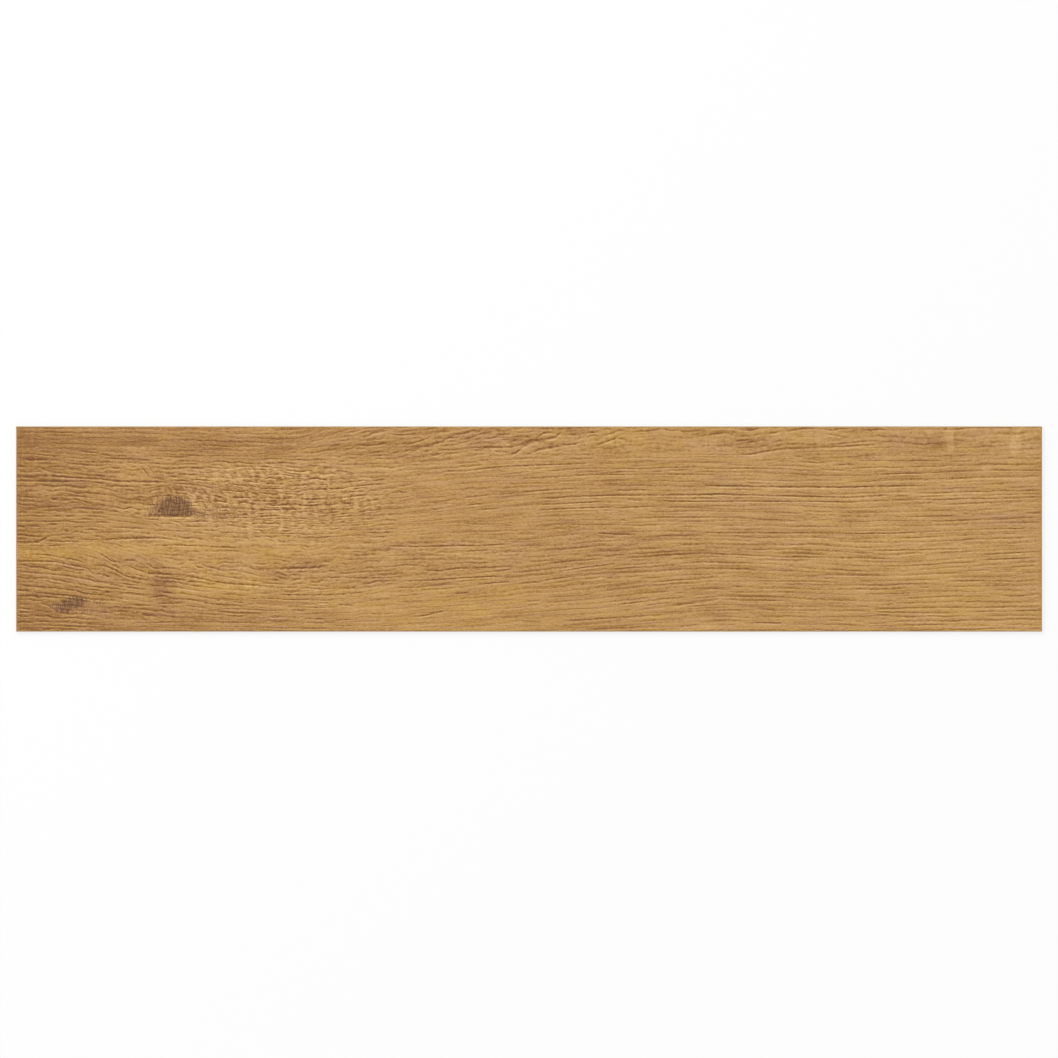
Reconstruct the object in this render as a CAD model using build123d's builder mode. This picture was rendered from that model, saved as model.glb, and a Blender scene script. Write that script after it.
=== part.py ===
"""Herringbone vinyl plank: one sheet of glue-down vinyl, cut square, with a fine bevel round its decor face.

Millimetres, +Z up. The origin is the middle of the back face, which lies on the floor.
+X runs along the plank and its printed grain, and +Y across it.
"""

import os

from build123d import *

# One plank, edge to edge and from its back to its decor face
plank_length = 600.0
plank_width = 120.0
plank_thickness = 2.5

# The bevel round the decor face: how far it reaches in from each edge, and how far it drops there
bevel_width = 0.5
bevel_depth = 0.3

# The square-cut sheet, then its bevel, which meets in a mitre at each corner
with BuildPart() as plank:
    with BuildSketch(Plane.XY):
        Rectangle(plank_length, plank_width)
    extrude(amount=plank_thickness)
    decor_face = plank.faces().sort_by(Axis.Z).last
    chamfer(decor_face.edges(), length=bevel_width, length2=bevel_depth, reference=decor_face)

plank.part.label = "plank"

os.makedirs("parts", exist_ok=True)
export_step(plank.part, "parts/plank.step")
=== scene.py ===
import bmesh
import bpy
import numpy as np
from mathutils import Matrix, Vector


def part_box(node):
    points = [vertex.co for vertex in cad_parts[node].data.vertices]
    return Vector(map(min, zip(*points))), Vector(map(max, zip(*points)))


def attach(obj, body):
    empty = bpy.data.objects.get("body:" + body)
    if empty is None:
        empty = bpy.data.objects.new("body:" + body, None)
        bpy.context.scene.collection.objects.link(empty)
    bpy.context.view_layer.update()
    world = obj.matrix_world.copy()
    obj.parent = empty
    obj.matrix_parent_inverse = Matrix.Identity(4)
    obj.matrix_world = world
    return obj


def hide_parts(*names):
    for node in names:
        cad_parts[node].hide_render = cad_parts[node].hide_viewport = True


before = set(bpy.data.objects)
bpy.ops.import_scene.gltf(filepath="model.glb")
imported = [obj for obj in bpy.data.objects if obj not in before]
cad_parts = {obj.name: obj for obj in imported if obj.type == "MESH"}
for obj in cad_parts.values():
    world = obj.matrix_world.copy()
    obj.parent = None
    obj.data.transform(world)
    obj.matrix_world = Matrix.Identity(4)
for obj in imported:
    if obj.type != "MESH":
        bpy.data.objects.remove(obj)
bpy.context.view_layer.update()  # one body, root, and one node, plank

# The plank as the CAD has it: its box, and the bevel round its decor face, in metres
plank_low, plank_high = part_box("plank")
bevel_width = 0.0005
bevel_depth = 0.0003

# The decor is drawn in millimetres: along from the left end, and down from the rear edge to the front edge
millimetre = 0.001
decor_length = (plank_high.x - plank_low.x) / millimetre
decor_width = (plank_high.y - plank_low.y) / millimetre

# The decor face's mesh: its columns stand closer up to fine_end, where the knots and slanting lines are
columns = 345
rows = 272
fine_end = 360.0
fine_share = 0.7

# The embossing: the depth of the darkest printed lines, a knot's share of it, and the rim that stays level
emboss_depth = 0.10 * millimetre
knot_share = 0.6
level_rim = 1.0

# The map that the export bakes through: the strip of its height for each surface, the bevel's share of a
# side's strip, and a margin at the strips' ends
decor_strip = (0.20, 0.996)
back_strip = (0.10, 0.19)
side_strips = [(0.076, 0.094), (0.052, 0.070), (0.028, 0.046), (0.004, 0.022)]
bevel_share = 0.2
strip_margin = 0.004

# Where lively grain stops and straight grain starts, and how far the corners of its guides are rounded
grain_change = [200, 330]
grain_rounding = 16

# Waves in the grain: height in lively and in straight grain, length along, width across, and seed
grain_waves = [
    (1.4, 1.4, 42, 9, 11),
    (0.7, 0.7, 13, 3.5, 12),
    (0.9, 0.36, 4.5, 2.2, 13),
]

# Drawn lines: how far they waver and run past their ends, and their half width as a share of their width
line_wobble = 0.35
line_overrun = 1.0
drawn_share = 0.54

# A line's swells: the length of one, which its wavers share, and its least strength, rise and limit
swell_length = 9.0
swell_low = 0.7
swell_rise = 0.6
swell_limit = 1.15

# A line's ends: the share of its length that each tapers over, that taper's limits, and the tip's strength
taper_share = 0.3
taper_limits = (1.0, 7.0)
end_strength = 0.3

# A line's shade, in half widths: how far it reaches, the stretch it fades over, and the room it needs
line_reach = 2.8
line_fade = 0.6
line_room = 4.3

# Lines that lie close together are kept in different layers, so that each keeps its own clean run
line_layers = 6

# The columns past each of a line's ends that carry it on with no darkness, so that it ends cleanly
end_columns = 2

# Filler lines: how many are tried, the shortest kept, how even their lengths are, and the limits of their
# half width and uneven darkness
filler_tries = 18000
filler_shortest = 3.0
filler_evenness = 2.0
filler_widths = (0.41, 0.65)
filler_uneven = (0.7, 1.2)

# Filler lines at places along the plank: mean half length, least room and usual darkness
filler_places = [0, 60, 100, 190, 240, 330, 600]
filler_lengths = [13, 12, 10, 10, 18, 28, 44]
filler_rooms = [1.8, 1.8, 1.75, 1.75, 1.9, 2.1, 2.2]
filler_darkness = [0.64, 0.68, 0.66, 0.60, 0.46, 0.46, 0.52]

# The flecked zone, where lines break into short dashes: middle along and down, half length and half width,
# and how sharply its edge sets in
fleck_zone = (150.0, 44.0, 80.0, 27.0)
fleck_edge = 1.6

# The dashes there: mean half length, added darkness, and the share of width and room that they lose
dash_length = 8.0
dash_darkness = 0.1
dash_loss = 0.25

# Beside the large knot the dashes slant across the grain: the slope at two places along
dash_places = [95, 150]
dash_slopes = [0.35, 0.0]

# The room kept free beside a drawn line
drawn_room = 1.6

# Calm zones, where filler lines are longer and fainter: how much longer, then each zone's share of darkness,
# first and last along, and first and last down
calm_stretch = 2.0
calm_zones = [
    (0.55, 0, 190, 0, 17),
    (0.35, 0, 75, 68, 77),
    (0.5, 75, 205, 66, 78),
    (0.55, 222, 335, 28, 66),
    (0.55, 195, 335, 94, 120),
    (0.55, 345, 600, 2, 19),
    (0.55, 40, 165, 112, 120),
]

# Lines that the grain follows, from rear to front: level in straight grain, then each point's along and down
grain_guides = [
    (-8, 0, -1, 160, 2, 225, -15, 283, -32, 353, -48, 435, -52, 600, -56),
    (15, 0, 17, 108, 20, 166, 21, 225, 21, 277, 17, 365, 15, 426, 16, 453, 13, 600, 8),
    (23.5, 0, 24, 49, 30, 108, 32.5, 166, 35, 195, 34, 254, 28.5, 306, 25, 400, 23, 494, 25.5, 564, 24,
     600, 24),
    (31.5, 0, 34, 43, 36, 73, 37, 91, 34, 111, 37, 166, 40, 184, 40, 207, 38, 276, 34, 353, 32, 400, 31.5,
     482, 32.5, 600, 29),
    (39.5, 0, 48, 49, 50, 91, 55, 108, 52.5, 178, 52, 248, 46.5, 306, 41, 353, 40, 412, 39.5, 488, 41,
     552, 38.5, 600, 37),
    (50.5, 0, 53.5, 49, 55, 108, 59, 166, 59.5, 195, 58, 254, 54, 306, 51, 400, 50.5, 488, 52.5,
     552, 50.5, 600, 49.5),
    (62, 0, 59, 49, 59, 78, 60, 108, 64, 166, 67, 254, 65, 339, 62.5, 401, 62, 511, 62.5, 552, 60.5,
     600, 59.5),
    (74, 0, 71, 40, 72.5, 50, 75, 60, 79.5, 70, 83, 80, 85.5, 104, 87.5, 137, 89.5, 166, 89, 225, 86,
     289, 83, 342, 78, 400, 74, 512, 77, 600, 73),
    (77.5, 0, 76, 23, 77.5, 40, 80.5, 52, 83, 63, 88, 78, 91, 105, 94, 136, 96.5, 166, 96, 225, 90,
     283, 86.5, 342, 81, 400, 77.5, 512, 81, 600, 77),
    (81, 0, 82, 26, 85, 49, 90, 108, 97, 166, 100, 190, 99, 225, 94, 283, 90, 347, 84, 412, 81, 512, 85,
     600, 81),
    (90, 0, 96, 55, 100, 108, 105, 166, 108, 190, 107, 257, 102, 330, 97, 371, 92, 412, 89.5, 479, 91.5,
     600, 88),
    (100, 0, 109, 49, 112, 108, 114.5, 166, 114.5, 225, 113, 306, 107, 353, 104, 412, 99, 502, 102,
     600, 100),
    (112, 0, 120, 166, 121.5, 225, 121.5, 342, 115, 412, 112, 502, 113, 600, 111.5),
    (124, 0, 131, 225, 132, 342, 126, 412, 124, 600, 123),
]

# Dark lines that stand out in the grain: darkness, width, then each point's along and down
dark_lines = [
    # left of the large knot
    (0.5, 0.9, 0, 15.5, 11, 16, 26, 17.5),
    (0.6, 0.9, 37, 14.5, 48, 15.5),
    (0.5, 0.9, 50, 18, 61, 19, 71, 19),
    (0.7, 0.9, 27, 21, 43, 22.5, 50, 23),
    (0.6, 1.2, 0, 23, 6, 23.5),
    (0.7, 1, 13, 23, 17, 25.5, 23, 27, 32, 27.5),
    (0.9, 1.1, 13, 28.5, 26, 29, 52, 31, 60, 32, 71, 32, 88, 32.5),
    (0.75, 1, 0, 31.5, 17, 32, 43, 32),
    (0.8, 1.1, 13, 33.5, 23, 35, 29, 34.5, 37, 35.5, 44, 35.5),
    (0.6, 0.9, 0, 34.5, 6, 34.5),
    (0.7, 0.9, 16, 36.5, 21, 38, 27, 37),
    (0.7, 0.9, 40, 38.5, 46, 39, 53, 40),
    (0.6, 0.9, 49, 35.5, 55, 37, 61, 38.5),
    (0.65, 0.9, 56, 40, 61, 41.5, 65, 42.5),
    (0.8, 1, 0, 40.5, 14, 41.5),
    (0.65, 0.9, 17, 40.5, 26, 40, 43, 41.5),
    (0.7, 0.9, 26, 43, 35, 42.5, 39, 43.5, 43, 45),
    (0.6, 0.9, 46, 42.5, 56, 44),
    (0.65, 0.9, 60, 44, 66, 45),
    (0.6, 0.9, 14, 47, 20, 47, 26, 46.5, 27, 45),
    (0.6, 0.9, 0, 52, 20, 52.5),
    (0.7, 0.9, 13, 55.5, 21, 55.5, 29, 55, 35, 56, 43, 56),
    (0.8, 1.3, 0, 58, 4, 58.5),
    (0.7, 0.9, 30, 58.5, 37, 58.5, 46, 58.5, 53, 59.5),
    (0.6, 0.9, 46, 62, 67, 61.5, 71, 62.5),
    (0.6, 0.9, 20, 63.5, 31, 63),
    (0.6, 0.9, 66, 39.5, 73, 39, 78, 40),
    (0.6, 0.9, 66, 42.5, 76, 43),
    (0.6, 0.9, 55, 54.5, 64, 55.5, 78, 57.5),
    (0.7, 0.9, 91, 55, 95, 56, 98, 57.5),
    (0.6, 0.9, 99, 58, 110, 58.5),
    (0.6, 0.9, 80, 57, 84, 58.5),
    (0.5, 0.9, 78, 60.5, 91, 61, 102, 61),
    # the flat foot of the large knot
    (1, 1.4, 76, 52, 86, 52, 96, 52, 103, 52.5),
    (0.8, 1, 73.5, 23.5, 76, 27, 78.5, 30.5),
    (0.6, 0.9, 76.5, 22, 79, 25, 80.5, 28),
    # the pointed arches at the left end
    (0.85, 1.2, 0, 67.5, 8, 67.5, 14, 67, 18, 64.5, 21, 64),
    (0.7, 0.9, 19, 70, 23, 69.5, 29, 69),
    (0.7, 0.9, 37, 65.5, 43, 66, 50, 66),
    (0.85, 1.1, 49, 66, 61, 65.5, 84, 65, 96, 66.5),
    (0.7, 0.9, 10, 74.5, 19, 75, 25, 76),
    (0.85, 1, 23, 76, 32, 77.5, 40, 79.5),
    (0.8, 1, 46, 81, 52, 81.5, 58, 84, 63, 87, 71, 89, 78, 90),
    (0.85, 1, 0, 78.5, 23, 79, 35, 81.5, 42, 83, 45, 86.5),
    (0.8, 1, 47, 73, 49, 74.5, 51, 75, 56, 78.5, 63, 79.5),
    (0.7, 1, 64, 78, 69, 78, 71, 79),
    (0.85, 1, 65, 81, 70, 83.5, 78, 86, 98, 86.5, 103, 88, 122, 91.5, 149, 93.5),
    (0.75, 1, 77, 80, 80, 82.5, 85, 83),
    (0.6, 0.9, 84, 82.5, 94, 83),
    (0.75, 1, 104, 80, 108, 79.5, 111, 81.5, 123, 84.5),
    (0.6, 0.9, 108, 85.5, 119, 87, 131, 89, 149, 91.5),
    (0.55, 0.9, 130, 84.5, 144, 87.5, 150, 88),
    (0.75, 0.9, 80, 69.5, 93, 69, 111, 70, 132, 71),
    (0.6, 0.9, 99, 73, 111, 72.5, 132, 73),
    (0.5, 0.9, 78, 74.5, 100, 75),
    # round the small knot
    (0.8, 1, 0, 84.5, 7, 85, 27, 87, 36, 88, 46, 90.5, 70, 94.5, 77, 95.5),
    (0.8, 1, 7, 88.5, 17, 88.5, 35, 91.5, 46, 93.5, 65, 95.5),
    (0.75, 0.9, 0, 92, 8, 93.5, 23, 94.5, 35, 96, 39, 97.5, 57, 99),
    (0.8, 1.2, 0, 95.5, 7, 96),
    (0.8, 1, 12, 97, 29, 98.5, 42, 100.5, 62, 102),
    (0.75, 1, 27, 100, 35, 101, 43, 102.5),
    (0.6, 0.9, 0, 104, 9, 104),
    (0.7, 0.9, 15, 103.5, 20, 105, 23, 108),
    (0.65, 0.9, 0, 108.5, 9, 108.5),
    (0.6, 0.9, 11, 116, 26, 116.5, 50, 117.5),
    (0.6, 0.9, 61, 89.5, 74, 91.5),
    (0.65, 0.9, 84, 90.5, 95, 91, 105, 93, 120, 95, 136, 96),
    (0.65, 0.9, 87, 94, 93, 93.5, 105, 95.5, 113, 96.5),
    (0.7, 1.1, 83, 96.5, 93, 97.5),
    (0.6, 0.9, 61, 100.5, 68, 101.5),
    (0.65, 0.9, 78, 100, 88, 99),
    (0.7, 1, 83, 103.5, 97, 103),
    (0.7, 0.9, 98, 101, 105, 101.5, 116, 104, 133, 104.5),
    (0.65, 0.9, 65, 104, 78, 104.5),
    (0.6, 0.9, 106, 99, 115, 100.5),
    (0.65, 1.1, 113, 107, 128, 109, 144, 109.5),
    (0.5, 0.9, 67, 115, 102, 114, 144, 114.5),
    # the flecked grain right of the large knot
    (0.7, 0.9, 97, 28, 105, 28.5),
    (0.7, 0.9, 113, 29.5, 119, 29.5, 127, 30.5),
    (0.7, 0.9, 134, 32, 142, 33),
    (0.75, 0.9, 125, 33.5, 134, 34.5, 142, 35.5),
    (0.75, 0.9, 145, 33, 156, 33.5),
    (0.8, 0.9, 143, 36, 160, 36.5),
    (0.7, 0.9, 110, 35, 115, 36),
    (0.7, 1.1, 120, 37, 125, 37),
    (0.7, 0.9, 128, 38, 135, 38),
    (0.65, 0.9, 143, 39, 153, 39.5),
    (0.7, 0.9, 114, 40, 121, 41.5),
    (0.7, 0.9, 126, 41.5, 139, 41.5),
    (0.75, 0.9, 146, 41.5, 154, 42, 165, 42),
    (0.8, 1, 116, 43.5, 119, 43.5, 126, 45),
    (0.8, 1, 126, 45, 134, 44, 140, 45.5),
    (0.85, 1, 142, 45, 151, 46, 164, 45.5, 175, 46.5),
    (0.7, 0.9, 115, 47, 128, 47.5, 140, 48.5),
    (0.7, 0.9, 143, 48.5, 166, 48.5),
    (0.5, 0.9, 108, 10.5, 125, 11.5, 143, 11.5),
    (0.6, 0.9, 116, 55.5, 132, 56),
    (0.6, 0.9, 144, 56.5, 156, 57),
    (0.6, 0.9, 122, 57.5, 135, 59),
    (0.75, 0.9, 191, 33, 197, 32),
    (0.7, 0.9, 199, 32, 205, 31.5),
    (0.65, 0.9, 209, 31.5, 216, 31),
    (0.7, 0.9, 177, 34, 184, 34),
    (0.8, 0.9, 168, 37, 190, 36, 201, 34.5, 215, 33.5),
    (0.6, 0.9, 192, 38.5, 204, 38),
    (0.75, 0.9, 188, 42, 198, 40.5, 208, 40),
    (0.7, 0.9, 166, 42.5, 181, 42),
    (0.7, 0.9, 218, 39, 223, 38, 228, 38.5),
    (0.65, 0.9, 224, 35, 232, 33.5),
    (0.8, 1, 206, 43.5, 214, 42.5),
    (0.8, 1, 180, 46, 187, 45, 202, 44.5),
    (0.65, 0.9, 177, 48.5, 197, 48),
    (0.7, 0.9, 211, 55.5, 216, 54.5, 224, 55),
    (0.65, 0.9, 204, 60.5, 222, 59.5),
    # below the flecks
    (1, 1.3, 152, 83, 169, 82.5, 177, 82, 182, 81),
    (0.7, 0.9, 165, 85, 171, 84.5),
    (0.6, 0.9, 160, 86.5, 169, 87.5),
    (0.65, 0.9, 143, 91.5, 159, 92),
    (0.65, 0.9, 143, 94, 163, 94, 178, 95, 185, 94.5),
    (0.6, 0.9, 171, 92.5, 187, 93.5),
    (0.8, 0.9, 154, 98, 175, 98.5, 182, 98.5, 204, 97),
    (0.75, 0.9, 144, 100.5, 160, 101, 182, 101.5, 191, 100.5),
    (0.65, 0.9, 168, 105.5, 178, 106, 188, 105.5),
    (0.65, 0.9, 189, 104, 198, 104.5),
    (0.6, 0.9, 187, 86.5, 201, 85, 223, 84),
    (0.6, 0.9, 192, 88.5, 208, 88.5, 229, 87.5),
    (0.5, 0.9, 143, 117.5, 184, 118),
    (0.6, 0.9, 205, 64.5, 216, 64.5),
    # the middle
    (0.8, 0.9, 216, 69.5, 232, 70, 248, 70, 268, 69.5, 289, 68.5),
    (0.6, 0.9, 214, 75.5, 232, 75),
    (0.6, 0.9, 237, 75, 253, 75.5),
    (0.65, 0.9, 261, 73, 279, 72),
    (0.8, 0.9, 236, 84, 248, 84.5, 257, 83, 265, 83),
    (0.8, 0.9, 268, 82.5, 284, 82, 293, 82),
    (0.8, 0.9, 271, 85.5, 283, 84.5, 290, 83.5),
    (0.75, 0.9, 225, 90.5, 248, 89.5, 268, 88, 284, 87.5),
    (0.6, 0.9, 221, 94.5, 239, 93.5, 257, 92),
    (0.6, 0.9, 237, 95.5, 251, 95, 266, 93),
    (0.65, 0.9, 271, 92, 283, 91, 290, 90.5),
    (0.7, 0.9, 256, 97.5, 265, 97),
    (0.8, 1.1, 233, 111, 239, 110.5, 247, 108.5, 253, 107.5),
    (0.65, 0.9, 298, 102.5, 307, 101.5),
    (0.65, 0.9, 300, 104.5, 307, 104),
    (0.7, 0.9, 252, 26, 263, 26, 277, 24, 304, 22.5, 336, 21.5),
    (0.6, 0.9, 256, 21.5, 269, 20.5),
    (0.55, 0.9, 283, 28, 299, 26.5),
    (0.55, 0.9, 295, 30.5, 311, 29.5, 336, 28, 412, 28),
    (0.65, 0.9, 311, 26, 330, 24.5, 365, 24.5, 400, 23.5),
    (0.7, 0.9, 318, 32, 331, 31.5),
    (0.75, 0.9, 297, 38, 312, 37, 328, 36),
    (0.7, 0.9, 252, 43, 257, 42),
    (0.75, 0.9, 262, 41.5, 276, 40),
    (0.7, 0.9, 265, 45.5, 274, 45),
    (0.6, 0.9, 241, 49, 255, 47),
    (0.6, 0.9, 271, 48.5, 282, 48),
    (0.9, 1, 306, 42, 336, 40.5, 353, 40, 412, 39.5, 488, 41.5, 511, 40),
    (0.8, 0.9, 305, 45.5, 318, 45, 343, 44),
    (0.75, 0.9, 305, 49, 327, 47.5, 350, 47),
    (0.7, 0.9, 377, 43.5, 488, 44, 511, 43),
    (0.7, 0.9, 352, 47.5, 377, 46.5),
    (0.6, 0.9, 359, 53.5, 412, 53),
    (0.7, 0.9, 339, 62.5, 360, 63),
    (0.7, 0.9, 312, 80, 342, 77),
    (0.7, 1, 358, 76.5, 400, 74, 447, 76, 512, 77),
    (0.7, 0.9, 318, 84.5, 350, 80),
    (0.7, 0.9, 347, 83.5, 388, 81),
    (0.65, 0.9, 371, 91, 412, 88),
    (0.6, 1.5, 383, 104.5, 412, 100.5),
    (0.6, 0.9, 353, 104, 368, 102),
    # the slanting strokes along the rear edge
    (0.47, 1.1, 183, 7, 190, 6, 196, 5.5),
    (0.76, 1.3, 202, 6, 206, 5.5, 208, 4, 213, 3, 216, 2.5),
    (0.57, 1, 219, 4.5, 222, 5, 232, 4.5, 236, 4.5),
    (0.66, 1.1, 223, 3, 229, 2.5, 233, 2, 236, 1),
    (0.47, 1, 189.5, 8.5, 193, 8, 196.5, 7.5),
    (0.52, 1, 203, 8, 216, 7, 230, 7),
    (0.76, 1.1, 198, 11.5, 200, 11, 207, 11, 212, 10.5, 216, 9.5),
    (0.66, 1.1, 200, 13, 204.5, 12.5),
    (0.57, 1.1, 182.5, 11.5, 187, 11, 190, 10.5),
    (0.43, 1.1, 191.5, 14, 195.5, 13, 198.5, 12),
    (0.66, 1.1, 216.5, 12.5, 219, 12.5, 220.5, 11.5),
    (0.47, 1, 206.5, 15.5, 213, 14.5),
    (0.66, 1, 220, 15.5, 223, 15, 224.5, 14),
    (0.66, 1.1, 226, 9.5, 229, 10, 232, 9.5, 236, 8.5, 240, 7, 242, 6),
    (0.66, 1.1, 230, 12, 234, 11.5, 240, 11.5, 244, 11),
    (0.9, 1.5, 242.5, 10, 245.5, 9.5, 248.5, 9, 250.5, 8.5, 251.5, 7.5),
    (0.76, 1.1, 251.5, 7, 254, 6.5, 257, 6),
    (0.9, 1.6, 231, 14.5, 233, 14, 234, 13, 235.5, 12.5),
    (0.66, 1.1, 239, 1.5, 243.5, 1, 248, 0.5),
    (0.47, 1, 246, 3.5, 254, 2.5),
    (0.85, 1.3, 256, 4.5, 258, 4.5, 262, 4, 264, 3.5, 266, 2.5, 270, 3, 271, 2.5, 273, 1.5),
    (0.76, 1.5, 257, 7, 258, 6, 259.5, 5),
    (0.47, 1, 259, 9.5, 263, 9, 266.5, 8),
    (0.66, 1, 247, 14, 250, 13.5, 256, 13.5, 261, 13),
    (0.71, 1.1, 262, 12.5, 266, 12, 278, 12, 290, 12),
    (0.57, 1, 251.5, 16, 257, 15.5, 262, 15),
    (0.71, 1.1, 242, 17, 245.5, 16.5, 247.5, 16),
    (0.57, 1, 266, 14, 278, 14),
    (0.43, 1, 223.5, 18, 227, 17, 231.5, 16.5),
    (0.62, 1.1, 274.5, 7, 278.5, 7, 281, 6, 285, 6),
    (0.81, 1.3, 281, 4.5, 284.5, 4.5, 288.5, 4.5, 289.5, 3, 290, 1.5),
    (0.47, 1, 292, 3, 297.5, 3.5, 303.5, 2.5),
    (0.57, 1, 300, 1, 314, 1),
    (0.76, 1.1, 304.5, 6, 306, 5.5, 307.5, 4, 310, 3.5, 313.5, 3.5, 316.5, 4),
    (0.9, 1.5, 310.5, 7, 313.5, 6.5, 316, 6, 317, 4.5, 318, 3.5),
    (0.57, 1, 289, 9, 291.5, 8.5, 293.5, 7.5),
    (0.66, 1.1, 276, 9.5, 278.5, 10, 282, 9.5),
    (0.52, 1, 286, 9.5, 290, 10, 293, 10.5),
    (0.9, 2.8, 295, 10.5, 298, 9.5, 301, 8.5, 305, 8, 307, 8, 311, 7.5),
    (0.57, 1, 321, 4.5, 325, 4.5, 327, 4.5),
    (0.81, 1.1, 318, 10.5, 323, 10.5, 327.5, 10, 329.5, 9),
    (0.57, 1.1, 327.5, 7, 331, 6.5),
    (0.9, 1.4, 288.5, 16, 291.5, 15.5, 293.5, 14.5, 295.5, 13, 296.5, 12),
    (0.9, 1.5, 303, 14.5, 305, 13.5, 308, 13, 312, 12.5, 316, 12),
    (0.76, 1.1, 299, 16, 301, 16),
    (0.57, 1, 277, 17, 283, 17, 286.5, 16.5),
    (0.47, 1.1, 314, 17, 316.5, 16.5, 318, 15.5),
    (0.57, 1, 333, 3.5, 337, 3.5, 340.5, 3),
    (0.66, 1.1, 343, 5, 346.5, 4.5, 349, 4, 351.5, 2.5, 353.5, 2),
    (0.81, 1.3, 340, 10.5, 343, 9.5, 346, 8.5, 349, 7.5, 351, 6.5, 355, 7),
    (0.57, 1, 350.5, 6, 352, 5.5, 354, 4.5),
    (0.47, 1, 328.5, 14.5, 332, 14, 335.5, 14.5),
    (0.47, 1, 348.5, 12.5, 352, 12),
    (0.52, 1, 398, 6, 401, 5.5, 406, 4.5, 409, 4, 416, 3.5),
    (0.62, 1.1, 423.5, 6, 427, 5.5),
    (0.57, 1.1, 421, 8.5, 424.5, 8, 429.5, 7.5),
    (0.57, 1.1, 428, 9, 433, 9),
    (0.71, 1.1, 433.5, 12, 436.5, 11.5, 438.5, 11),
    (0.57, 1, 420.5, 12.5, 432, 12),
    (0.81, 1.1, 438.5, 4.5, 441, 3.5, 444.5, 3.5, 447, 2.5),
    (0.66, 1, 443.5, 8.5, 448, 8),
    (0.76, 1.1, 424, 16, 430, 16, 435, 15, 442, 14, 448, 13, 456, 12.5, 476, 12, 504, 10.5),
    (0.81, 1.1, 450, 2.5, 454, 2, 461, 1, 467, 1),
    (0.57, 1, 475, 4.5, 485, 6),
    (0.57, 1, 456, 17.5, 461, 17.5),
    (0.66, 1, 402, 11.5, 407, 11),
    (0.57, 1, 475, 10.5, 482, 10, 504, 8),
    # the chains that tie those strokes together
    (0.6, 1.1, 225, 15.5, 232, 13, 236, 11.5, 243, 11, 248, 9, 252, 7, 257, 4.5, 264, 3.5, 270, 1.5),
    (0.6, 1.2, 271, 13, 290, 11.5, 295, 10.5, 300, 8.5, 311, 7, 317, 4.5),
    (0.6, 1.1, 303, 14.5, 309, 12.5, 318, 11.5, 329, 9.5),
    (0.6, 1, 340, 10.5, 348, 7.5, 355, 4),
    # the straight grain at the right
    (0.9, 1, 401, 34.5, 482, 35.5, 529, 34.5),
    (0.7, 0.9, 401, 24.5, 453, 24.5),
    (0.7, 0.9, 401, 62, 511, 62.5, 552, 60.5, 590, 59.5),
    (0.65, 0.9, 435, 90, 479, 91),
    (0.7, 0.9, 505, 28, 564, 25.5, 600, 25.5),
    (0.7, 0.9, 526, 39, 600, 37),
    (0.65, 0.9, 511, 43, 599, 41.5),
    (0.7, 0.9, 520, 52.5, 552, 52),
    (0.65, 0.9, 535, 55.5, 600, 53),
    (0.65, 0.9, 511, 65.5, 546, 64),
    (0.65, 0.9, 502, 72.5, 552, 71.5),
    (0.7, 0.9, 567, 74.5, 599, 73),
    (0.6, 0.9, 564, 78, 599, 76.5),
    (0.6, 0.9, 546, 90.5, 570, 90),
    (0.6, 0.9, 502, 108.5, 546, 109),
    (0.6, 0.9, 578, 116, 600, 116),
    (0.55, 0.9, 394, 100.5, 412, 99, 453, 100),
]

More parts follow.
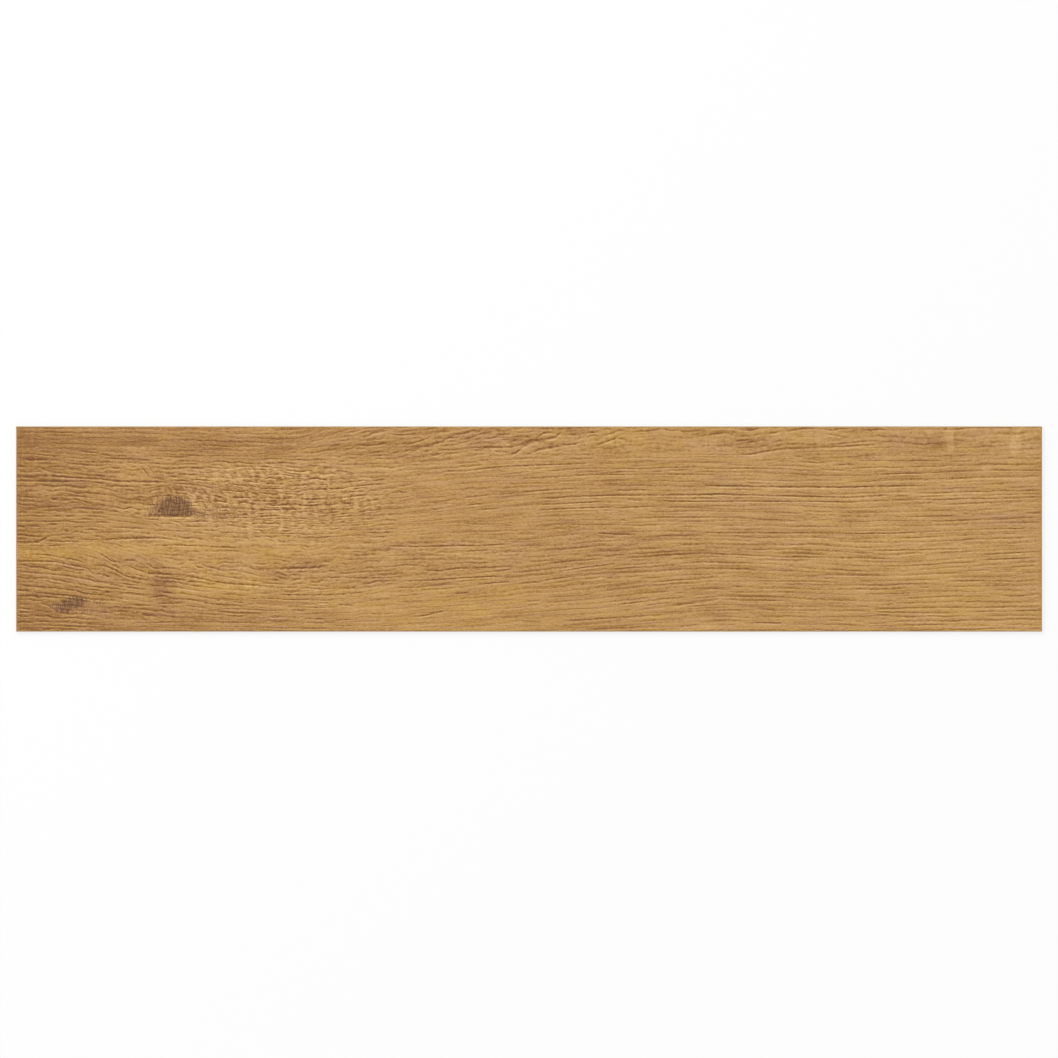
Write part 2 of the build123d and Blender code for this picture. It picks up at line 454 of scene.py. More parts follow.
# Soft patches, paler above zero and browner below: tone, warmth, then middle along and down, half length and
# half width
tone_patches = [
    # the brown left end, and the warm pale band that runs into it
    (-1.6, -0.05, 0, 55, 50, 200),
    (-0.6, 0.1, 0, 55, 10, 200),
    (-0.6, -0.1, 25, 8, 45, 12),
    (0.5, 0.1, 45, 58, 35, 8),
    (-0.6, -0.15, 32, 34, 25, 8),
    (-0.7, 0, 82, 35, 10, 5),
    (-0.7, -0.4, 93, 39, 9, 4),
    (1.8, 0.8, 0, 73, 60, 5),
    (1, 0.5, 128, 73.5, 52, 7),
    (0.5, 0.1, 37, 26.5, 11, 2.5),
    (0.5, 0.1, 67, 25.5, 10, 2.5),
    # the rear edge
    (-1.2, -0.2, 120, 9, 100, 9),
    (-0.7, -0.4, 285, 8, 32, 6),
    (0.5, 0.5, 354, 8, 22, 8),
    (1.4, 0.2, 468, 5, 32, 4),
    (-0.6, -0.2, 429, 9, 11, 8),
    (-0.9, -0.5, 530, 10, 19, 6),
    (0.4, 0, 580, 16, 28, 18),
    # the middle of the face
    (0.6, 0, 245, 27, 62, 6),
    (-0.3, -0.1, 130, 48, 34, 6),
    (-0.8, -0.1, 138, 42, 50, 18),
    (-0.35, 0, 140, 49, 35, 10),
    (0.6, 0.15, 195, 60, 85, 7),
    (0.5, 0, 495, 44, 50, 10),
    (0.5, 0, 550, 38, 55, 9),
    (0.4, 0.1, 535, 82, 60, 9),
    (0.3, 0.1, 420, 22, 50, 8),
    (-0.6, -0.25, 335, 69, 60, 9),
    (-0.5, -0.2, 340, 84, 40, 5),
    (-0.6, 0.1, 390, 73, 24, 5),
    (0.7, 0.15, 545, 67, 65, 10),
    (-0.6, -0.6, 580, 54, 22, 5),
    (0, -0.35, 432, 45, 30, 25),
    (0.35, 0.1, 480, 60, 150, 90),
    # the front edge
    (-1.2, -0.5, 166, 85, 22, 4),
    (-2.4, -0.5, 85.5, 93, 7, 14),
    (0.7, 0.7, 122, 94, 28, 6),
    (-1.2, -0.2, 90, 114, 85, 8),
    (0.6, 0.5, 245, 107, 60, 11),
    (0.3, 0.4, 290, 97, 20, 5),
    (0.7, 0, 425, 117, 60, 4),
    (-0.5, -0.3, 405, 101, 10, 4),
    (-0.5, -0.2, 428, 107, 8, 6),
    (0.5, 0.5, 552, 102, 30, 10),
    (0.5, 0.1, 565, 114, 40, 7),
    (0.6, 0.4, 540, 85, 14, 4),
    (0.4, 0.2, 168, 92, 25, 9),
    (0.6, 0, 592, 68, 22, 36),
    (0.5, 0, 545, 113, 22, 7),
]

# Pale flecks across the grain: how far they sway and over what length, the length of their soft ends, and
# the length, gain and limit of their swells
fleck_sway = 3.5
sway_length = 7.0
soft_end = 6.0
fleck_swell = 4.0
fleck_gain = 1.6
fleck_limit = 1.2

# Each pale fleck: strength, middle along, start, end and half width
cross_flecks = [
    (1, 81.5, 33, 48, 1.4),
    (1, 103, 32, 47, 1.5),
    (0.25, 115, 20, 56, 1.2),
    (0.8, 125.5, 36, 56, 1.2),
    (0.5, 125, 22, 38, 1.2),
    (0.8, 136, 46, 67, 2),
    (0.5, 135, 24, 44, 1.2),
    (0.9, 141.5, 33, 48, 1.5),
    (0.5, 148, 30, 62, 1),
    (0.6, 152, 58, 76, 1.5),
    (0.6, 156, 22, 70, 1.2),
    (0.6, 162, 24, 66, 1.2),
    (0.6, 169, 22, 66, 1.2),
    (0.5, 179, 24, 60, 1.2),
    (0.5, 187, 24, 60, 1.2),
    (0.5, 194, 26, 62, 1.2),
    (0.5, 207, 28, 60, 1.2),
    (0.5, 216, 30, 60, 1.2),
    (1.6, 546, -4, 20, 1.8),
    (1.6, 584, -4, 18, 2.6),
    (1.2, 568, 20, 32, 3),
]

# Knots: where the rim lies and how soft it is, as shares of the knot's size, then each one's darkness, flat
# foot, middle along and down, half length and half height
knot_rim = 1.1
knot_softness = 0.5
knots = [
    (0.56, 52.6, 90.5, 53, 17, 14.5),
    (0.38, 52.6, 94, 48.5, 11, 10),
    (0.36, 55, 119, 50.5, 17, 5.5),
    (0.34, 110.5, 38, 106, 21, 6),
    (0.55, 110.5, 34.5, 102.5, 7.5, 4),
    (0.34, 110.5, 25.5, 106, 9, 4.5),
]


# Decor fields

def fade(share):
    """Eases a share between 0 and 1, with a level start and end."""
    return share * share * (3 - 2 * share)


def smooth_noise(along, across, seed):
    """Seeded noise between 0 and 1 that changes over about one unit each way."""
    left = np.floor(along).astype(int)
    above = np.floor(across).astype(int)
    share_along = fade(along - left)
    share_across = fade(across - above)
    left = left - left.min()
    above = above - above.min()
    values = np.random.default_rng(seed).random((left.max() + 2, above.max() + 2))
    upper = values[left, above] * (1 - share_along) + values[left + 1, above] * share_along
    lower = values[left, above + 1] * (1 - share_along) + values[left + 1, above + 1] * share_along
    return upper * (1 - share_across) + lower * share_across


def rounded_line(points, along):
    """The heights of a line through a few points, with its corners rounded."""
    ruler = np.arange(-2 * grain_rounding, decor_length + 2 * grain_rounding + 1)
    heights = np.interp(ruler, *split_pairs(points))
    window = np.hanning(2 * grain_rounding + 1)
    return np.interp(along, ruler, np.convolve(heights, window / window.sum(), mode="same"))


def split_pairs(numbers):
    """The along and the down of each point, from a row that gives them in turn."""
    return np.array(numbers, float).reshape(-1, 2).T


def squared_reach(along, down, middle_along, middle_down, half_length, half_width):
    """How far each point lies from the middle of an oval, squared: 1 on its rim."""
    return ((along - middle_along) / half_length)**2 + ((down - middle_down) / half_width)**2


def grain_levels(along, down):
    """How far across the grain each point lies: equal along each grain line."""
    levels = np.array([level for level, *_ in grain_guides])
    heights = np.array([rounded_line(points, along) for _, *points in grain_guides])
    smooth = np.array([np.interp(down, heights[:, column], levels) for column in range(len(along))])
    across = smooth.copy()
    for lively, straight, length, width, seed in grain_waves:
        wave = smooth_noise(along[:, None] / length + 0 * smooth, smooth / width, seed) - 0.5
        across += np.interp(along, grain_change, [lively, straight])[:, None] * wave
    return across


def drawn_tracks(along):
    """The drawn dark lines, each as its columns, heights, darkness and half width."""
    for number, (darkness, width, *points) in enumerate(dark_lines):
        line_along, line_down = split_pairs(points)
        start = line_along[0] - line_overrun
        end = line_along[-1] + line_overrun
        inside = np.flatnonzero((along > start) & (along < end))
        place = along[inside]
        wobble = line_wobble * (smooth_noise(place / swell_length, 0 * place, seed=300 + number) - 0.5)
        heights = np.interp(place, line_along, line_down) + wobble
        yield inside, heights, darkness * tapered(place, number), drawn_share * width


def tapered(place, seed):
    """How strong a line is along its run: weaker at its ends and uneven in between."""
    end_gap = np.minimum(place - place[0], place[-1] - place)
    taper = np.clip(taper_share * (place[-1] - place[0]), *taper_limits)
    swell = swell_low + swell_rise * smooth_noise(place / swell_length, 0 * place, seed=100 + seed)
    return np.clip(end_gap / taper + end_strength, 0, 1) * np.clip(swell, 0, swell_limit)


def fleckiness(along, down):
    """How far a place lies inside the flecked zone: 1 in its middle, and 0 outside."""
    return np.clip(fleck_edge * (1 - squared_reach(along, down, *fleck_zone)), 0, 1)


def dash_levels(along, across):
    """How far across the short dashes each point lies: beside the large knot they slant across the grain."""
    slope = np.interp(along, dash_places, dash_slopes)
    sunk = np.concatenate([[0], np.cumsum(slope[1:] * np.diff(along))])
    return across - sunk[:, None]


def calm_share(along, down):
    """The share of their darkness that lines keep in a calm zone, and 1 elsewhere."""
    for share, first, last, top, foot in calm_zones:
        if first <= along <= last and top <= down <= foot:
            return share
    return 1.0


def filler_tracks(along, down, across, taken):
    """Lines that fill the room left between the drawn ones: each follows the grain from a free spot."""
    rng = np.random.default_rng(seed=21)
    row_step = down[1] - down[0]
    for number in range(filler_tries):
        column = rng.integers(len(along))
        row = rng.integers(len(down))
        if taken[column, row]:
            continue
        start = along[column]
        flecked = fleckiness(start, down[row])
        length = np.interp(start, filler_places, filler_lengths) * (1 - flecked) + dash_length * flecked
        calm = calm_share(start, down[row])
        reach = rng.gamma(filler_evenness, length / filler_evenness) * (calm_stretch if calm < 1 else 1.0)
        near = np.flatnonzero(np.abs(along - start) < reach)
        heights = np.array([np.interp(across[column, row], across[each], down) for each in near])
        at_rows = np.clip(np.round((heights - down[0]) / row_step).astype(int), 0, len(down) - 1)
        blocked = taken[near, at_rows]
        before = np.flatnonzero(blocked & (near < column))
        after = np.flatnonzero(blocked & (near > column))
        first = before[-1] + 1 if len(before) else 0
        last = after[0] if len(after) else len(near)
        near = near[first:last]
        heights = heights[first:last]
        if along[near[-1]] - along[near[0]] < filler_shortest:
            continue
        usual = np.interp(start, filler_places, filler_darkness) * calm
        darkness = (usual + dash_darkness * flecked) * rng.uniform(*filler_uneven)
        half_width = rng.uniform(*filler_widths) * (1 - dash_loss * flecked)
        room = np.interp(start, filler_places, filler_rooms) * (1 - dash_loss * flecked)
        claim(taken, near, heights, down, room)
        yield near, heights, darkness * tapered(along[near], seed=1000 + number), half_width


def claim(taken, line_columns, heights, down, room):
    """Marks the room beside a line as taken."""
    taken[line_columns] |= np.abs(down[None, :] - heights[:, None]) < room


def nearest_lines(along, down, across):
    """In each layer, each point's offset below the nearest line, in half widths, and the line's darkness."""
    gaps = np.full((line_layers, len(along), len(down)), np.inf)
    darks = np.zeros_like(gaps)
    taken = np.zeros(gaps[0].shape, bool)
    drawn = list(drawn_tracks(along))
    for line_columns, heights, _, _ in drawn:
        claim(taken, line_columns, heights, down, drawn_room)
    tracks = drawn + list(filler_tracks(along, down, across, taken))
    for line_columns, heights, darkness, half_width in tracks:
        first = max(line_columns[0] - end_columns, 0)
        last = min(line_columns[-1] + end_columns, len(along) - 1)
        run = np.arange(first, last + 1)
        heights = np.interp(run, line_columns, heights)
        darkness = np.interp(run, line_columns, darkness, left=0, right=0)
        offset = (down[None, :] - heights[:, None]) / half_width
        strength = darkness[:, None] * np.clip((line_reach - np.abs(offset)) / line_fade, 0, 1)
        crowded = (np.abs(gaps[:, run]) < line_room) & (np.abs(offset) < line_room)
        layer = np.argmin(np.sum(crowded, axis=(1, 2)))
        alike = (strength > 0) == (darks[layer, run] > 0)
        nearer = np.where(alike, np.abs(offset) < np.abs(gaps[layer, run]), strength > 0)
        darks[layer, run] = np.where(nearer, strength, darks[layer, run])
        gaps[layer, run] = np.where(nearer, offset, gaps[layer, run])
    return np.clip(gaps, -line_reach, line_reach), darks


def soft_patches(along, down):
    """Broad paler and browner patches, and how warm each is."""
    tone = np.zeros((len(along), len(down)))
    warmth = np.zeros_like(tone)
    for amount, warm, *oval in tone_patches:
        patch = np.exp(-squared_reach(along[:, None], down[None, :], *oval))
        tone += amount * patch
        warmth += warm * patch
    return tone, warmth


def pale_flecks(along, down):
    """Short pale flecks that run across the grain."""
    field = np.zeros((len(along), len(down)))
    for strength, middle, start, end, half_width in cross_flecks:
        sway = fleck_sway * (smooth_noise(down / sway_length, 0 * down, seed=int(middle)) - 0.5)
        beside = np.exp(-((along[:, None] - middle - sway[None, :]) / half_width)**2)
        inside = np.clip((down - start) / soft_end, 0, 1) * np.clip((end - down) / soft_end, 0, 1)
        swell = smooth_noise(down / fleck_swell, 0 * down, seed=50 + int(middle))
        uneven = np.clip(fleck_gain * swell, 0, fleck_limit)
        field += strength * beside * (inside * uneven)[None, :]
    return field


def knot_marks(along, down):
    """How deep inside a knot each point lies: highest in its heart, and 0 outside."""
    field = np.zeros((len(along), len(down)))
    for darkness, foot, *oval in knots:
        reach = np.sqrt(squared_reach(along[:, None], down[None, :], *oval))
        above_foot = np.clip(foot - down, 0, 1)
        field += darkness * fade(np.clip((knot_rim - reach) / knot_softness, 0, 1)) * above_foot[None, :]
    return field


def decor_fields(along, down):
    """What the materials and the embossing need to know at each point of the decor face, by name."""
    across = grain_levels(along, down)
    tone, warmth = soft_patches(along, down)
    fields = {
        "grain_along": np.repeat(along[:, None], rows, 1),
        "grain_across": across,
        "place_down": np.repeat(down[None, :], columns, 0),
        "tone": tone,
        "warmth": warmth,
        "fleck": pale_flecks(along, down),
        "hammered": fleckiness(along[:, None], down[None, :]),
        "dash_across": dash_levels(along, across),
        "heart": knot_marks(along, down),
    }
    for layer, (gap, dark) in enumerate(zip(*nearest_lines(along, down, across))):
        fields[f"line_gap_{layer}"] = gap
        fields[f"line_dark_{layer}"] = dark
    return fields


def pressed_depth(along, down, fields):
    """How deep each point of the decor face is pressed: most in its darkest lines, and not at its rim."""
    edge_gap = np.minimum(
        np.minimum(along - along[0], along[-1] - along)[:, None],
        np.minimum(down - down[0], down[-1] - down)[None, :],
    )
    lines = [
        fields[f"line_dark_{layer}"] * np.exp(-fields[f"line_gap_{layer}"]**2)
        for layer in range(line_layers)
    ]
    pressed = np.max(lines, axis=0) + knot_share * np.clip(fields["heart"], 0, 1)
    return emboss_depth * np.clip(pressed, 0, 1) * np.clip(edge_gap / level_rim, 0, 1)


# The plank's mesh

def graded_columns():
    """Places of the mesh's columns along the decor face, in millimetres from the left end."""
    inset = bevel_width / millimetre
    share = np.linspace(0, 1, columns)
    return np.interp(share, [0, fine_share, 1], [inset, fine_end, decor_length - inset])


def ring_of(grid):
    """The grid's border, in order round the plank from its rear left corner."""
    return np.concatenate([grid[:, 0], grid[-1, 1:-1], grid[::-1, -1], grid[0, -2:0:-1]])


def flat_places(points, strip):
    """Bake map places of the decor face's or the back's corners, as they lie seen from above."""
    share_along = (points[:, 0] - plank_low.x) / (plank_high.x - plank_low.x)
    share_across = (points[:, 1] - plank_low.y) / (plank_high.y - plank_low.y)
    u = strip_margin + (1 - 2 * strip_margin) * share_along
    return np.stack([u, strip[0] + (strip[1] - strip[0]) * share_across], -1)


def ring_places(top_share, foot_share):
    """Bake map places of a ring of side faces, between two shares of each side's strip, from the rear on."""
    places = []
    for count, (foot, top) in zip((columns - 1, rows - 1, columns - 1, rows - 1), side_strips):
        u = np.linspace(strip_margin, 1 - strip_margin, count + 1)
        upper = np.full(count, foot + (top - foot) * top_share)
        lower = np.full(count, foot + (top - foot) * foot_share)
        corners = [(u[:-1], upper), (u[1:], upper), (u[1:], lower), (u[:-1], lower)]
        places.append(np.stack([np.stack(corner, -1) for corner in corners], 1))
    return np.concatenate(places).reshape(-1, 2)


def plank_mesh():
    """One closed mesh: the embossed decor face, the bevel, the four cut edges and the back."""
    inset = bevel_width / millimetre
    along = graded_columns()
    down = np.linspace(inset, decor_width - inset, rows)
    fields = decor_fields(along, down)

    x = plank_low.x + along * millimetre
    y = plank_high.y - down * millimetre
    face_points = np.stack([
        np.repeat(x[:, None], rows, 1),
        np.repeat(y[None, :], columns, 0),
        plank_high.z - pressed_depth(along, down, fields),
    ], -1).reshape(-1, 3)

    grid = np.arange(columns * rows).reshape(columns, rows)
    ring = ring_of(grid)
    middle = (plank_low + plank_high) / 2
    spread_x = (plank_high.x - middle.x) / (plank_high.x - middle.x - bevel_width)
    spread_y = (plank_high.y - middle.y) / (plank_high.y - middle.y - bevel_width)
    rim = face_points[ring].copy()
    rim[:, 0] = middle.x + (rim[:, 0] - middle.x) * spread_x
    rim[:, 1] = middle.y + (rim[:, 1] - middle.y) * spread_y
    rim[:, 2] = plank_high.z - bevel_depth
    foot = rim.copy()
    foot[:, 2] = plank_low.z
    points = np.concatenate([face_points, rim, foot])

    count = len(ring)
    rim_at = len(face_points) + np.arange(count)
    foot_at = rim_at + count
    following = np.roll(np.arange(count), -1)
    top_faces = np.stack([grid[:-1, :-1], grid[:-1, 1:], grid[1:, 1:], grid[1:, :-1]], -1).reshape(-1, 4)
    bevel_faces = np.stack([ring, ring[following], rim_at[following], rim_at], -1)
    wall_faces = np.stack([rim_at, rim_at[following], foot_at[following], foot_at], -1)

    rear = foot_at[:columns]
    right = foot_at[columns:columns + rows - 2]
    front = foot_at[columns + rows - 2:2 * columns + rows - 2][::-1]
    left = foot_at[2 * columns + rows - 2:]
    back_faces = np.stack([rear[1:-2], rear[2:-1], front[2:-1], front[1:-2]], -1).tolist()
    back_faces.append([rear[1], *front[1::-1], *left, rear[0]])
    back_faces.append([*rear[-2:], *right, *front[:-3:-1]])

    faces = top_faces.tolist() + bevel_faces.tolist() + wall_faces.tolist() + back_faces
    # numbered in the order in which dress_plank adds the materials
    materials = np.repeat([0, 1, 2, 3], [len(top_faces), len(bevel_faces), len(wall_faces), len(back_faces)])

    mesh = bpy.data.meshes.new("vinyl_plank")
    mesh.from_pydata(points.tolist(), [], [[int(corner) for corner in face] for face in faces])
    mesh.polygons.foreach_set("material_index", materials.astype(np.int32))
    mesh.polygons.foreach_set("use_smooth", materials == 0)

    bake_map = mesh.uv_layers.new(name="OFBake")
    bake_map.uv.foreach_set("vector", np.concatenate([
        flat_places(points[top_faces.ravel()], decor_strip),
        ring_places(1.0, 1 - bevel_share),
        ring_places(1 - bevel_share, 0.0),
        flat_places(points[np.concatenate(back_faces)], back_strip),
    ]).ravel())

    for name, values in fields.items():
        on_face = values.reshape(-1)
        on_all = np.concatenate([on_face, on_face[ring], on_face[ring]])
        mesh.attributes.new(name, "FLOAT", "POINT").data.foreach_set("value", on_all)

    shell = bmesh.new()
    shell.from_mesh(mesh)
    bmesh.ops.recalc_face_normals(shell, faces=shell.faces)
    shell.to_mesh(mesh)
    shell.free()
    return mesh


# Material nodes

def colour(red, green, blue):
    """A colour given in 0 to 255 steps as a screen shows it, as Blender's linear colour."""
    screen = np.array([red, green, blue]) / 255
    linear = np.where(screen <= 0.04045, screen / 12.92, ((screen + 0.055) / 1.055)**2.4)
    return (*linear.tolist(), 1.0)


def new_material(name):
    """An empty node material, with its tree and its shader."""
    material = bpy.data.materials.new(name)
    material.use_nodes = True
    return material, material.node_tree, material.node_tree.nodes["Principled BSDF"]


def feed(tree, socket, value):
    """Links an output to a socket, or sets the socket to a number."""
    if isinstance(value, bpy.types.NodeSocket):
        tree.links.new(value, socket)
    else:
        socket.default_value = value


def attribute(tree, name):
    """A number stored on the mesh."""
    node = tree.nodes.new("ShaderNodeAttribute")
    node.attribute_name = name
    return node.outputs["Fac"]


def math(tree, operation, *values):
    """One sum of numbers."""
    node = tree.nodes.new("ShaderNodeMath")
    node.operation = operation
    for socket, value in zip(node.inputs, values):
        feed(tree, socket, value)
    return node.outputs[0]


def total(tree, start, *parts):
    """A start value plus each part times its weight."""
    for value, weight in parts:
        start = math(tree, "MULTIPLY_ADD", value, weight, start)
    return start


def remap(tree, value, low, high, to_low=0.0, to_high=1.0):
    """Eases a value from one range to another, and stays within it."""
    node = tree.nodes.new("ShaderNodeMapRange")
    node.interpolation_type = "SMOOTHSTEP"
    for socket, number in zip(node.inputs, (value, low, high, to_low, to_high)):
        feed(tree, socket, number)
    return node.outputs[0]


def grain_noise(tree, along, across, length, width, seed, detail=2.0):
    """Noise drawn out along the grain: about so long and so wide, in millimetres."""
    place = tree.nodes.new("ShaderNodeCombineXYZ")
    feed(tree, place.inputs[0], math(tree, "MULTIPLY", along, 1 / length))
    feed(tree, place.inputs[1], math(tree, "MULTIPLY", across, 1 / width))
    feed(tree, place.inputs[2], seed)
    noise = tree.nodes.new("ShaderNodeTexNoise")
    feed(tree, noise.inputs["Vector"], place.outputs[0])
    noise.inputs["Scale"].default_value = 1.0
    noise.inputs["Detail"].default_value = detail
    return noise.outputs["Fac"]


def ramp(tree, value, stops):
    """A run of colours over a value between 0 and 1."""
    node = tree.nodes.new("ShaderNodeValToRGB")
    elements = node.color_ramp.elements
    while len(elements) < len(stops):
        elements.new(0.5)
    for element, (position, stop_colour) in zip(elements, stops):
        element.position = position
        element.color = stop_colour
    feed(tree, node.inputs["Fac"], value)
    return node.outputs["Color"]


def mixed(tree, share, first, second):
    """Two colours, mixed."""
    node = tree.nodes.new("ShaderNodeMix")
    node.data_type = "RGBA"
    share_socket, first_socket, second_socket = (node.inputs[number] for number in (0, 6, 7))
    feed(tree, share_socket, share)
    feed(tree, first_socket, first)
    feed(tree, second_socket, second)
    return node.outputs[2]


def bump(tree, shader, height, depth):
    """Fine relief, as deep as its height value times a depth in metres."""
    node = tree.nodes.new("ShaderNodeBump")
    node.inputs["Distance"].default_value = depth
    feed(tree, node.inputs["Height"], height)
    feed(tree, shader.inputs["Normal"], node.outputs["Normal"])


def print_colours(tree, value, yellow):
    """The print's colours from dark lines to pale fibres, shifted to yellow or, below zero, to pink."""
    shift = np.array([2.0, 3.0, -10.0]) * yellow
    shades = [(117, 75, 31), (152, 108, 54), (186, 142, 85), (205, 164, 107), (225, 184, 128)]
    places = np.linspace(0, 1, len(shades))
    return ramp(tree, value, [(place, colour(*shade + shift)) for place, shade in zip(places, shades)])


def decor_material():
    """The printed oak decor under its matt wear layer, with a painted highlight just below each line."""
    material, tree, shader = new_material("oak_decor")
    along = attribute(tree, "grain_along")
    across = attribute(tree, "grain_across")
    down = attribute(tree, "place_down")
    rays = remap(tree, grain_noise(tree, along, down, 2.6, 6.5, seed=8.0, detail=3.0), 0.42, 0.66)
    hammered = attribute(tree, "hammered")
    hammer = math(tree, "MULTIPLY", hammered, rays)
    streaks = remap(tree, total(tree, 0.0, (attribute(tree, "fleck"), 1.0), (rays, 0.25)), 0.35, 0.8)
    fleck = total(tree, 0.0, (streaks, 1.2), (hammer, 0.6))
    dashes = grain_noise(tree, along, attribute(tree, "dash_across"), 3.4, 1.0, seed=12.0, detail=1.0)
    dashes = math(tree, "MULTIPLY", remap(tree, dashes, 0.38, 0.62, -0.5, 0.5), hammered)
    feather = remap(tree, grain_noise(tree, along, down, 2.4, 1.1, seed=9.0), 0.0, 1.0, -0.5, 0.5)
    waver = math(tree, "MULTIPLY", feather, remap(tree, along, *grain_change, 1.6, 1.1))
    steady = remap(tree, along, *grain_change, 0.55, 0.75)
    breaks = grain_noise(tree, along, across, 3.2, 1.4, seed=10.0, detail=1.0)
    breaks = remap(tree, breaks, 0.3, 0.6, steady, 1.1)
    unbroken = math(tree, "MULTIPLY", breaks, remap(tree, fleck, 0.9, 0.1, 0.5, 1.0))
    unbroken = math(tree, "MULTIPLY", unbroken, remap(tree, hammered, 0.0, 1.0, 1.0, 1.05))
    # the printed lines, and a painted highlight below each, which stands in for light on the emboss
    dark_line = 0.0
    painted_highlight = 0.0
    for layer in range(line_layers):
        gap = math(tree, "ADD", attribute(tree, f"line_gap_{layer}"), waver)
        strength = math(tree, "MULTIPLY", attribute(tree, f"line_dark_{layer}"), unbroken)
        core = remap(tree, math(tree, "ABSOLUTE", gap), 1.5, 0.2)
        # painted highlight: a pale band just below the line
        rim = remap(tree, math(tree, "ABSOLUTE", math(tree, "SUBTRACT", gap, 1.9)), 1.0, 0.1)
        dark_line = math(tree, "MAXIMUM", math(tree, "MULTIPLY", strength, core), dark_line)
        painted_highlight = math(tree, "MAXIMUM", math(tree, "MULTIPLY", strength, rim), painted_highlight)
    # the painted highlight is stronger in the flecked zone
    painted_highlight = math(tree, "MULTIPLY", painted_highlight, remap(tree, hammered, 0.0, 1.0, 1.0, 1.5))
    bands = grain_noise(tree, along, across, 80, 5, seed=1.0, detail=1.0)
    blotches = grain_noise(tree, along, down, 16, 7, seed=11.0)
    hairs = remap(tree, grain_noise(tree, along, across, 28, 0.95, seed=2.0, detail=1.0), 0.30, 0.60)
    fibres = grain_noise(tree, along, across, 2.6, 0.8, seed=3.0)
    pores = grain_noise(tree, along, across, 3.5, 0.5, seed=4.0, detail=1.0)
    specks = grain_noise(tree, along, down, 0.9, 0.7, seed=7.0, detail=1.0)
    hue = grain_noise(tree, along, across, 20, 3, seed=6.0)
    value = total(
        tree, -0.377,
        (bands, 0.27),
        (blotches, 0.26),
        (hairs, 0.18),
        (dark_line, -0.43),
        # painted highlight below the lines
        (painted_highlight, 0.37),
        (fibres, 0.54),
        (remap(tree, pores, 0.60, 0.75), -0.13),
        (specks, 0.42),
        (attribute(tree, "tone"), 0.078),
        (fleck, 0.12),
        (dashes, 0.32),
    )
    yellow = total(tree, -0.15, (hue, 1.3), (attribute(tree, "warmth"), 0.5))
    print_colour = mixed(tree, yellow, print_colours(tree, value, -1), print_colours(tree, value, 1))

    heart = attribute(tree, "heart")
    bars = remap(tree, grain_noise(tree, along, down, 1.0, 5.0, seed=5.0), 0.38, 0.62)
    crumbs = remap(tree, specks, 0.36, 0.64)
    ragged = total(tree, 0.40, (heart, 1.0), (bars, -0.42), (crumbs, -0.28))
    knot = math(tree, "MULTIPLY", remap(tree, ragged, 0.15, 0.75), remap(tree, heart, 0.02, 0.2))
    shade = total(
        tree, 0.61,
        (bars, 0.36),
        (crumbs, 0.32),
        (remap(tree, heart, 0.3, 0.8), -0.48),
        (dark_line, -0.6),
    )
    heart_colour = ramp(tree, shade, [
        (0.0, colour(98, 64, 38)),
        (0.4, colour(126, 88, 55)),
        (0.75, colour(158, 117, 73)),
        (1.0, colour(186, 143, 89)),
    ])
    feed(tree, shader.inputs["Base Color"], mixed(tree, knot, print_colour, heart_colour))
    feed(tree, shader.inputs["Roughness"], remap(tree, fibres, 0.3, 0.7, 0.5, 0.62))
    shader.inputs["Specular IOR Level"].default_value = 0.27
    bump(tree, shader, value, depth=0.00008)
    return material


def bevel_material():
    """The painted micro bevel."""
    material, tree, shader = new_material("bevel_paint")
    along = attribute(tree, "grain_along")
    across = attribute(tree, "grain_across")
    streaks = grain_noise(tree, along, across, 12, 2, seed=5.0)
    paint = ramp(tree, streaks, [(0.3, colour(162, 122, 76)), (0.7, colour(190, 149, 99))])
    feed(tree, shader.inputs["Base Color"], paint)
    feed(tree, shader.inputs["Roughness"], remap(tree, streaks, 0.3, 0.7, 0.5, 0.65))
    return material


def object_noise(tree, scale, detail=2.0):
    """Even noise over the piece, at so many spots to the metre."""
    place = tree.nodes.new("ShaderNodeTexCoord")
    noise = tree.nodes.new("ShaderNodeTexNoise")
    feed(tree, noise.inputs["Vector"], place.outputs["Object"])
    noise.inputs["Scale"].default_value = scale
    noise.inputs["Detail"].default_value = detail
    return noise.outputs["Fac"]


def cut_edge_material():
    """The cut edge: clear wear layer and print film above a filled core."""
    material, tree, shader = new_material("cut_edge")
    place = tree.nodes.new("ShaderNodeTexCoord")
    split = tree.nodes.new("ShaderNodeSeparateXYZ")
    feed(tree, split.inputs[0], place.outputs["Object"])
    height = math(tree, "DIVIDE", split.outputs["Z"], plank_high.z)
    speckle = object_noise(tree, 2500.0)
    height = total(tree, height, (speckle, 0.03))
    layers = ramp(tree, height, [
        (0.0, colour(96, 90, 84)),
        (0.24, colour(104, 98, 91)),
        (0.27, colour(150, 142, 132)),
        (0.72, colour(158, 150, 139)),
        (0.75, colour(120, 84, 52)),
        (0.80, colour(150, 112, 72)),
        (1.0, colour(165, 128, 86)),
    ])
    chalk = remap(tree, speckle, 0.35, 0.7, 0.0, 0.25)
    feed(tree, shader.inputs["Base Color"], mixed(tree, chalk, layers, colour(190, 184, 176)))
    feed(tree, shader.inputs["Roughness"], remap(tree, speckle, 0.3, 0.7, 0.6, 0.75))
    bump(tree, shader, speckle, depth=0.00005)
    return material


def back_material():
    """The plain backing sheet, with a fine sanded face."""
    material, tree, shader = new_material("backing")
    cloud = object_noise(tree, 60.0, detail=3.0)
    sand = object_noise(tree, 1500.0)
    shade = total(tree, 0.0, (cloud, 0.5), (sand, 0.5))
    backing = ramp(tree, shade, [(0.3, colour(92, 88, 83)), (0.7, colour(118, 113, 107))])
    feed(tree, shader.inputs["Base Color"], backing)
    feed(tree, shader.inputs["Roughness"], remap(tree, sand, 0.3, 0.7, 0.65, 0.8))
    bump(tree, shader, sand, depth=0.0001)
    return material


# The piece

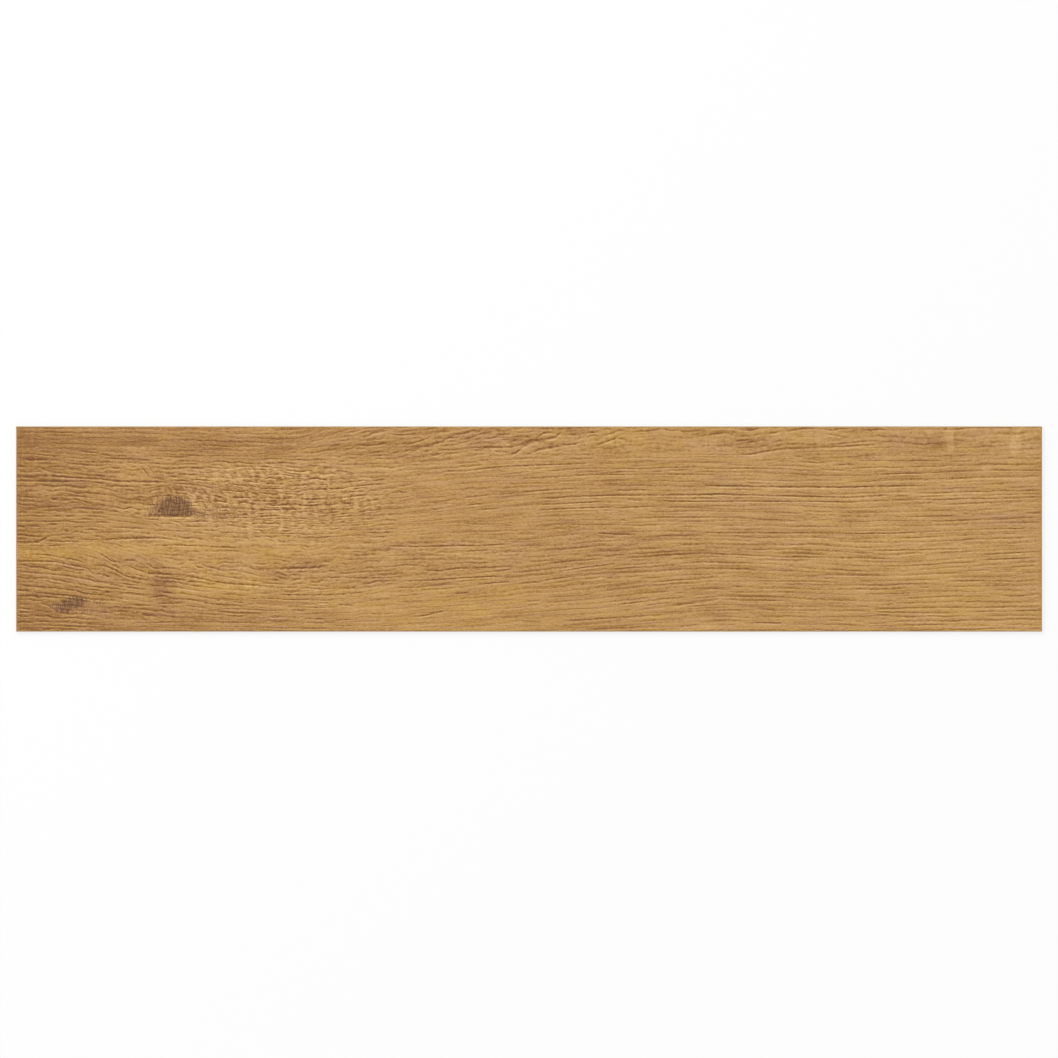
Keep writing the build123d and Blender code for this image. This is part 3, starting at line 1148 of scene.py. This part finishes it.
def dress_plank():
    """The plank's piece, in place of the plain CAD solid."""
    piece = bpy.data.objects.new("vinyl_plank", plank_mesh())
    bpy.context.scene.collection.objects.link(piece)
    for material in (decor_material(), bevel_material(), cut_edge_material(), back_material()):
        piece.data.materials.append(material)
    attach(piece, "root")
    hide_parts("plank")


# The studio, in metres: the floor, how white the camera sees it, the sky's light, the lamp and the camera

floor_half = 3.0
floor_gap = 0.0001
floor_white = 0.75
sky_light = 0.65
lamp_size = 3.0
lamp_power = 90.0
lamp_place = Vector((-2.0, 2.0, 2.8))
camera_height = 2.5
view_width = 0.6188


def seen_rays(tree):
    """1 for rays that the camera sees by, also in a reflection or through glass, and 0 for other light."""
    rays = tree.nodes.new("ShaderNodeLightPath")
    seen = math(tree, "MAXIMUM", rays.outputs["Is Camera Ray"], rays.outputs["Is Glossy Ray"])
    return math(tree, "MAXIMUM", seen, rays.outputs["Is Transmission Ray"])


def lay_floor():
    """A plain white floor just under the plank, which keeps a faint shadow."""
    mesh = bpy.data.meshes.new("floor")
    level = plank_low.z - floor_gap
    corners = [(-1, -1), (1, -1), (1, 1), (-1, 1)]
    mesh.from_pydata([(x * floor_half, y * floor_half, level) for x, y in corners], [], [(0, 1, 2, 3)])
    floor = bpy.data.objects.new("floor", mesh)
    bpy.context.scene.collection.objects.link(floor)
    material, tree, shader = new_material("white_floor")
    shader.inputs["Base Color"].default_value = (0.97, 0.97, 0.97, 1.0)
    shader.inputs["Roughness"].default_value = 0.9
    shader.inputs["Specular IOR Level"].default_value = 0.0
    white = tree.nodes.new("ShaderNodeEmission")
    white.inputs["Strength"].default_value = 1.0
    blend = tree.nodes.new("ShaderNodeMixShader")
    feed(tree, blend.inputs[0], math(tree, "MULTIPLY", seen_rays(tree), floor_white))
    feed(tree, blend.inputs[1], shader.outputs["BSDF"])
    feed(tree, blend.inputs[2], white.outputs["Emission"])
    feed(tree, tree.nodes["Material Output"].inputs["Surface"], blend.outputs["Shader"])
    mesh.materials.append(material)


def light_studio():
    """An even sky, which the camera sees as pure white, and one large soft lamp from the rear left."""
    world = bpy.data.worlds.new("studio")
    world.use_nodes = True
    tree = world.node_tree
    sky = tree.nodes["Background"]
    sky.inputs["Color"].default_value = (1.0, 1.0, 1.0, 1.0)
    feed(tree, sky.inputs["Strength"], total(tree, sky_light, (seen_rays(tree), 1 - sky_light)))
    bpy.context.scene.world = world
    lamp = bpy.data.lights.new("soft_box", "AREA")
    lamp.shape = "SQUARE"
    lamp.size = lamp_size
    lamp.energy = lamp_power
    soft_box = bpy.data.objects.new("soft_box", lamp)
    soft_box.location = lamp_place
    soft_box.rotation_euler = (-lamp_place).to_track_quat("-Z", "Y").to_euler()
    bpy.context.scene.collection.objects.link(soft_box)


def place_camera():
    """A camera straight above the plank, as in the photograph."""
    camera = bpy.data.cameras.new("camera")
    camera.type = "ORTHO"
    camera.ortho_scale = view_width
    viewer = bpy.data.objects.new("camera", camera)
    viewer.location = (0.0, 0.0, camera_height)
    bpy.context.scene.collection.objects.link(viewer)
    bpy.context.scene.camera = viewer


dress_plank()
lay_floor()
light_studio()
place_camera()
bpy.context.scene.view_settings.view_transform = "Standard"
